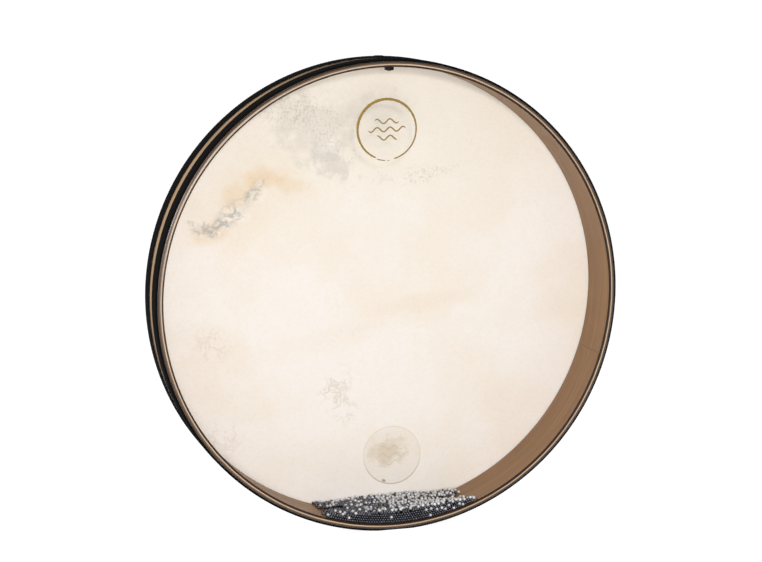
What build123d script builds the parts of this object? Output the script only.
from build123d import *
import os
from math import cos, degrees, radians, sin, sqrt

# A bead drum: a laminated bent-wood hoop with a clear head in front and a hide head
# behind, two woven tapes round the outside, and loose beads that roll inside.
# Units are millimetres. The origin is the drum's centre, +Y runs from the clear head to
# the hide along the drum's axis, and +Z is up. The drum stands on its rim, and the beads
# lie at the bottom. In a section sketch, X is the radius and Y is the depth.

os.makedirs("parts", exist_ok=True)

# The whole drum
outside_diameter = 558.8    # over the back tape, a 22 inch drum
drum_depth = 80.0           # from the clear head's face to the hide's face

# Heads and tapes
film_thickness = 0.6
hide_thickness = 0.8
hem_width = 20.0            # the part of a head that is glued round the hoop
tape_thickness = 0.9
tape_width = 24.0

# Hoop
veneer_thickness = 0.95
core_ply_thickness = 1.5
shoulder_radius = 3.0       # round on the hoop's outside edges
bevel = 2.0                 # on the hoop's inside edges
butt_gap = 0.2              # between the two ends of a bent strip

# Filler hole fastener, an M6 countersunk screw with a washer and a nut
filler_angle = 3.0          # degrees round from the top, towards +X
screw_radius = 3.0
screw_head_radius = 5.6
screw_head_depth = 2.6
screw_tip_chamfer = 0.6
socket_width = 4.0          # across flats
socket_depth = 1.6
hole_radius = 3.2
washer_radius = 6.0
washer_thickness = 1.2
nut_width = 10.0            # across flats
nut_height = 5.0
nut_chamfer = 0.4
tip_past_nut = 1.0
thread_clearance = 0.05

# Beads, as the lumps that they fill
bead_clearance = 0.4        # from the hoop and the heads
pile_height = 16.8          # from the hoop's inside to the pile's top
white_layer = 4.5           # depth of the layer of white beads
white_left = -45.0          # where that layer begins
nut_clearance = 0.7         # round the nut, as the beads pass it

# Worked out
wood_radius = outside_diameter / 2 - tape_thickness - hide_thickness
ply_thicknesses = [veneer_thickness] + [core_ply_thickness] * 3 + [veneer_thickness]
wall_thickness = sum(ply_thicknesses)
inner_radius = wood_radius - wall_thickness
front_face = -drum_depth / 2
back_face = drum_depth / 2
wood_front = front_face + film_thickness
wood_back = back_face - hide_thickness
wood_middle = (wood_front + wood_back) / 2
ply_names = ["outer_veneer", "outer_core_ply", "middle_core_ply", "inner_core_ply", "inner_veneer"]


def draw_hoop_section():
    """Draws the whole laminated wall: rounded outside edges and bevelled inside edges."""
    with Locations((wood_radius, wood_middle)):
        Rectangle(wall_thickness, wood_back - wood_front, align=(Align.MAX, Align.CENTER))
    fillet(vertices().group_by(Axis.X)[-1], radius=shoulder_radius)
    chamfer(vertices().group_by(Axis.X)[0], length=bevel)


def draw_head_section(face, inward, thickness):
    """Draws a flat head that turns over the hoop's round, from its face towards inward."""
    turn_end = face + inward * (thickness + shoulder_radius)
    inside = face + inward * thickness
    flat_radius = wood_radius - shoulder_radius
    with BuildLine() as outline:
        Line((0, face), (flat_radius, face))
        TangentArc((flat_radius, face), (wood_radius + thickness, turn_end), tangent=(1, 0))
        Line((wood_radius + thickness, turn_end), (wood_radius, turn_end))
        TangentArc((wood_radius, turn_end), (flat_radius, inside), tangent=(0, -inward))
        Line((flat_radius, inside), (0, inside))
        Line((0, inside), (0, face))
    make_face(outline.edges())


def draw_band(inside_radius, thickness, start, end):
    """Draws the section of a band round the hoop, from depth start to depth end."""
    with Locations((inside_radius, (start + end) / 2)):
        Rectangle(thickness, abs(end - start), align=(Align.MIN, Align.CENTER))


# The frame of the filler hole: its origin is on the hoop's outside, and its Z points out.
filler_out = Vector(sin(radians(filler_angle)), 0, cos(radians(filler_angle)))
filler_plane = Plane(origin=filler_out * wood_radius, x_dir=(0, 1, 0), z_dir=filler_out)
washer_seat = sqrt(inner_radius**2 - washer_radius**2) - wood_radius
nut_top = washer_seat - washer_thickness
nut_bottom = nut_top - nut_height
screw_length = tip_past_nut - nut_bottom
socket_plane = filler_plane.offset(-socket_depth)

# Hoop: five bent strips, each butted end to end, with the joints spaced round the drum
ply_outside = wood_radius
for index, (ply_name, ply_thickness) in enumerate(zip(ply_names, ply_thicknesses)):
    joint_plane = Plane.XY.rotated((0, 90 + index * 360 / len(ply_names), 0))
    with BuildPart() as ply:
        with BuildSketch(joint_plane):
            draw_hoop_section()
            with Locations((ply_outside, wood_middle)):
                Rectangle(
                    ply_thickness, drum_depth, align=(Align.MAX, Align.CENTER), mode=Mode.INTERSECT
                )
        revolve(axis=Axis.Y, revolution_arc=360 - degrees(butt_gap / ply_outside))
        with Locations(filler_plane):
            CounterSinkHole(
                radius=hole_radius,
                counter_sink_radius=screw_head_radius + (hole_radius - screw_radius),
                depth=2 * wall_thickness,
                counter_sink_angle=90,
            )
    ply.part.label = ply_name
    export_step(ply.part, f"parts/{ply_name}.step")
    ply_outside -= ply_thickness

# Clear head: a film drawn over the front edge and glued round the outside
with BuildPart() as clear_head:
    with BuildSketch(Plane.XY):
        draw_head_section(front_face, 1, film_thickness)
    revolve(axis=Axis.Y)
clear_head.part.label = "clear_head"
export_step(clear_head.part, "parts/clear_head.step")

clear_turn_end = wood_front + shoulder_radius
with BuildPart() as clear_hem:
    with BuildSketch(Plane.XY):
        draw_band(wood_radius, film_thickness, clear_turn_end, clear_turn_end + hem_width)
    revolve(axis=Axis.Y)
clear_hem.part.label = "clear_hem"
export_step(clear_hem.part, "parts/clear_hem.step")

# Hide head: the same on the back
with BuildPart() as hide_head:
    with BuildSketch(Plane.XY):
        draw_head_section(back_face, -1, hide_thickness)
    revolve(axis=Axis.Y)
hide_head.part.label = "hide_head"
export_step(hide_head.part, "parts/hide_head.step")

hide_turn_end = wood_back - shoulder_radius
with BuildPart() as hide_hem:
    with BuildSketch(Plane.XY):
        draw_band(wood_radius, hide_thickness, hide_turn_end, hide_turn_end - hem_width)
    revolve(axis=Axis.Y)
hide_hem.part.label = "hide_hem"
export_step(hide_hem.part, "parts/hide_hem.step")

# Tapes: a woven band over each hem, with its ends meeting at the top
tape_plane = Plane.XY.rotated((0, -90, 0))
tape_arc = 360 - degrees(butt_gap / wood_radius)
front_tape_edge = clear_turn_end
with BuildPart() as front_tape:
    with BuildSketch(tape_plane):
        draw_band(
            wood_radius + film_thickness, tape_thickness, front_tape_edge, front_tape_edge + tape_width
        )
    revolve(axis=Axis.Y, revolution_arc=tape_arc)
front_tape.part.label = "front_tape"
export_step(front_tape.part, "parts/front_tape.step")

back_tape_edge = hide_turn_end
with BuildPart() as back_tape:
    with BuildSketch(tape_plane):
        draw_band(
            wood_radius + hide_thickness, tape_thickness, back_tape_edge, back_tape_edge - tape_width
        )
    revolve(axis=Axis.Y, revolution_arc=tape_arc)
back_tape.part.label = "back_tape"
export_step(back_tape.part, "parts/back_tape.step")

# Filler fastener: it closes the hole that the beads are poured in through
with BuildPart(filler_plane) as filler_screw:
    Cylinder(screw_radius, screw_length, align=(Align.CENTER, Align.CENTER, Align.MAX))
    tip_edge = edges().filter_by(GeomType.CIRCLE).sort_by(Axis.Z)[0]
    chamfer(tip_edge, length=screw_tip_chamfer)
    Cone(
        screw_radius,
        screw_head_radius,
        screw_head_depth,
        align=(Align.CENTER, Align.CENTER, Align.MAX),
    )
    with BuildSketch(socket_plane):
        RegularPolygon(radius=socket_width / 2, side_count=6, major_radius=False)
    extrude(amount=2 * socket_depth, mode=Mode.SUBTRACT)
filler_screw.part.label = "filler_screw"
export_step(filler_screw.part, "parts/filler_screw.step")

with BuildPart() as filler_washer:
    with BuildSketch(filler_plane.offset(washer_seat)):
        Circle(washer_radius)
        Circle(hole_radius, mode=Mode.SUBTRACT)
    extrude(amount=-washer_thickness)
filler_washer.part.label = "filler_washer"
export_step(filler_washer.part, "parts/filler_washer.step")

with BuildPart() as filler_nut:
    with BuildSketch(filler_plane.offset(nut_top)):
        RegularPolygon(radius=nut_width / 2, side_count=6, major_radius=False)
    extrude(amount=-nut_height)
    with BuildSketch(filler_plane.offset(nut_top)):
        Circle(nut_width / sqrt(3) - nut_chamfer / 2)
    extrude(amount=-nut_height, mode=Mode.INTERSECT)
    with BuildSketch(filler_plane.offset(nut_top)):
        Circle(screw_radius + thread_clearance)
    extrude(amount=-nut_height, mode=Mode.SUBTRACT)
filler_nut.part.label = "filler_nut"
export_step(filler_nut.part, "parts/filler_nut.step")

# Beads: two lumps that fill the bottom of the hoop and roll round it together, with a
# channel along the hoop's inside where they pass the nut
pile_radius = inner_radius - bead_clearance
pile_top = pile_height - inner_radius
pile_depth = wood_back - wood_front - 2 * bead_clearance
channel_radius = wood_radius + nut_bottom - tip_past_nut - nut_clearance
channel_width = 2 * (washer_radius + nut_clearance)


def draw_pile(low, high):
    """Draws the stretch of the pile between two heights, seen from the front."""
    Circle(pile_radius)
    with Locations((0, low)):
        Rectangle(
            2 * pile_radius, high - low, align=(Align.CENTER, Align.MIN), mode=Mode.INTERSECT
        )


def cut_channel():
    """Cuts the channel that clears the nut all the way round the hoop."""
    with BuildSketch(Plane.XY) as channel:
        draw_band(channel_radius, pile_radius, -channel_width / 2, channel_width / 2)
    revolve(channel.sketch, axis=Axis.Y, mode=Mode.SUBTRACT)


white_bottom = pile_top - white_layer
with BuildPart() as white_beads:
    with BuildSketch(Plane.XZ):
        draw_pile(white_bottom, pile_top)
        with Locations((white_left, white_bottom)):
            Rectangle(2 * pile_radius, pile_height, align=(Align.MIN, Align.MIN), mode=Mode.INTERSECT)
    extrude(amount=pile_depth / 2, both=True)
    cut_channel()
white_beads.part.label = "white_beads"
export_step(white_beads.part, "parts/white_beads.step")

with BuildPart() as steel_shot:
    with BuildSketch(Plane.XZ):
        draw_pile(-pile_radius, pile_top)
        with Locations((white_left, white_bottom)):
            Rectangle(2 * pile_radius, pile_height, align=(Align.MIN, Align.MIN), mode=Mode.SUBTRACT)
    extrude(amount=pile_depth / 2, both=True)
    cut_channel()
steel_shot.part.label = "steel_shot"
export_step(steel_shot.part, "parts/steel_shot.step")
